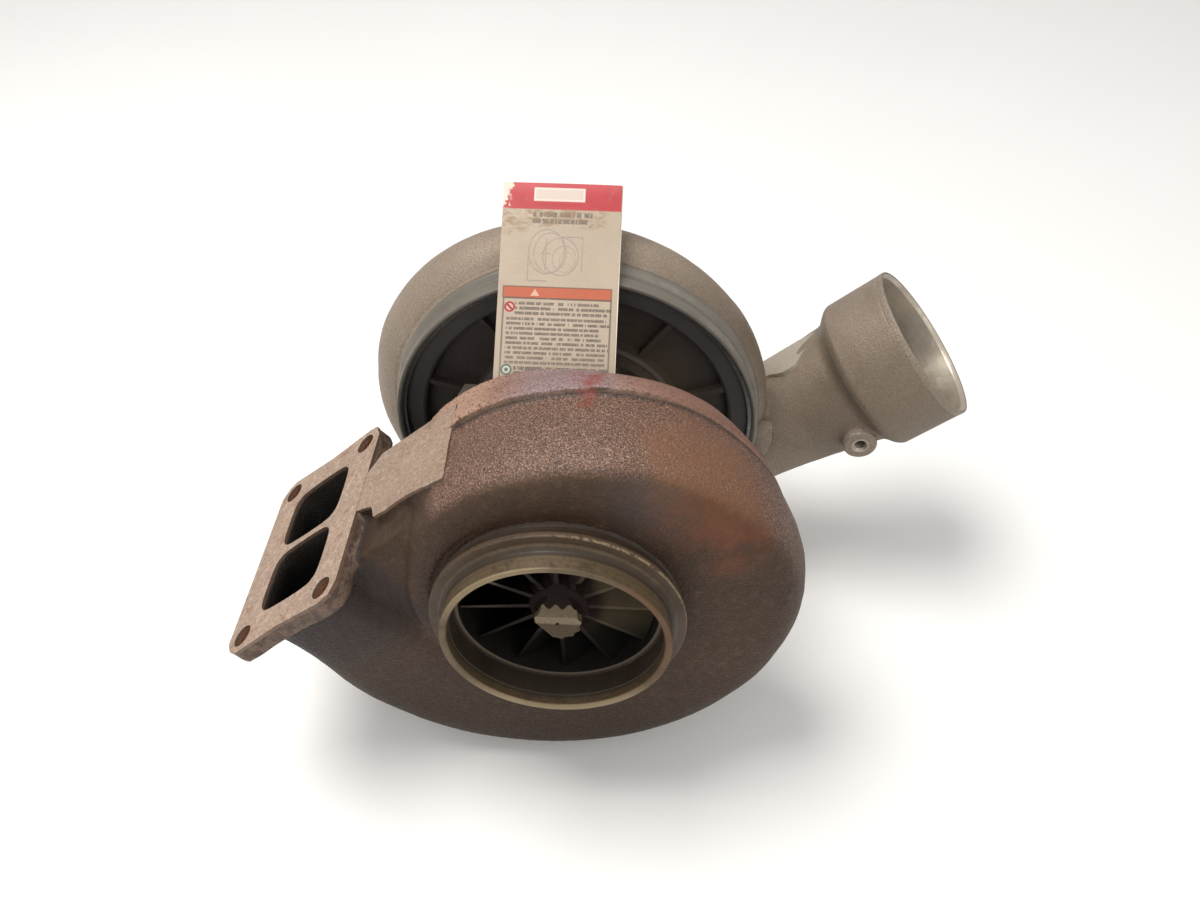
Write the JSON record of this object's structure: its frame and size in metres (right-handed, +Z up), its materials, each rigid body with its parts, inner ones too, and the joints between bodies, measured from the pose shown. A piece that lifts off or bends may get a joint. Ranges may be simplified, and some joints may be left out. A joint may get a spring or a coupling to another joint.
{
  "type": "turbocharger",
  "caption": "Large twin-entry diesel turbocharger with divided inlet flange, band-clamp turbine outlet, cast scroll compressor cover with hose socket, and a hang tag.",
  "frame": {"origin": "centre of the turbine outlet tube at its front face", "axes": "+Y along the shaft from turbine to compressor, +Z up as the unit stands in use, +X to the right seen from the turbine end"},
  "size_m": [0.4605, 0.302, 0.3235],
  "materials": {
    "turbine_iron": "rusty sand-cast iron, machined faces bare",
    "wheel_alloy": "investment-cast nickel alloy, dark",
    "shaft_steel": "ground steel",
    "bearing_bronze": "machined leaded bronze",
    "spring_steel": "blued spring steel",
    "centre_iron": "sand-cast iron, dark",
    "sheet_steel": "pressed stainless sheet",
    "bolt_steel": "plated steel, dulled",
    "seal_rubber": "matt rubber",
    "backplate_black": "black paint on cast metal, satin",
    "cover_alloy": "sand-cast aluminium, machined rims bright",
    "compressor_alloy": "machined aluminium",
    "tag_card": "printed coated card",
    "eyelet_brass": "rolled brass",
    "tie_wire": "soft iron wire"
  },
  "bodies": {
    "housings": {"turbine_housing": "turbine_iron", "turbine_piston_ring": "spring_steel", "bearing_retaining_rings": "spring_steel", "thrust_bearing": "bearing_bronze", "compressor_piston_ring": "spring_steel", "oil_baffle": "sheet_steel", "oil_seal_plate": "compressor_alloy", "seal_plate_o_ring": "seal_rubber", "thrust_bearing_screws": "bolt_steel", "bearing_housing": "centre_iron", "locating_pin": "shaft_steel", "heat_shield": "sheet_steel", "turbine_clamp_plate_right": "bolt_steel", "turbine_clamp_plate_left": "bolt_steel", "turbine_clamp_bolts": "bolt_steel", "backplate_bolts": "bolt_steel", "compressor_backplate": "backplate_black", "backplate_o_ring": "seal_rubber", "cover_retaining_ring": "spring_steel", "compressor_cover": "cover_alloy", "tag_tie": "tie_wire"},
    "rotor": {"turbine_wheel": "wheel_alloy", "rotor_shaft": "shaft_steel", "thrust_collar": "shaft_steel", "oil_slinger": "shaft_steel", "compressor_wheel": "compressor_alloy", "compressor_locknut": "bolt_steel"},
    "turbine_bearing": {"turbine_end_bearing": "bearing_bronze"},
    "compressor_bearing": {"compressor_end_bearing": "bearing_bronze"},
    "tag": {"instruction_tag": "tag_card", "tag_eyelet": "eyelet_brass"}
  },
  "joints": [
    {"name": "rotor_spin", "type": "hinge", "parent": "housings", "child": "rotor", "pos_m": [0, 0.15, 0], "axis": [0, 1, 0], "continuous": true},
    {"name": "turbine_bearing_spin", "type": "hinge", "parent": "housings", "child": "turbine_bearing", "pos_m": [0, 0.119, 0], "axis": [0, 1, 0], "continuous": true},
    {"name": "compressor_bearing_spin", "type": "hinge", "parent": "housings", "child": "compressor_bearing", "pos_m": [0, 0.154, 0], "axis": [0, 1, 0], "continuous": true},
    {"name": "tag_tilt", "type": "hinge", "parent": "housings", "child": "tag", "pos_m": [-0.009, 0.1247, 0.0787], "axis": [1, 0, 0], "range_deg": [0, 60]}
  ]
}
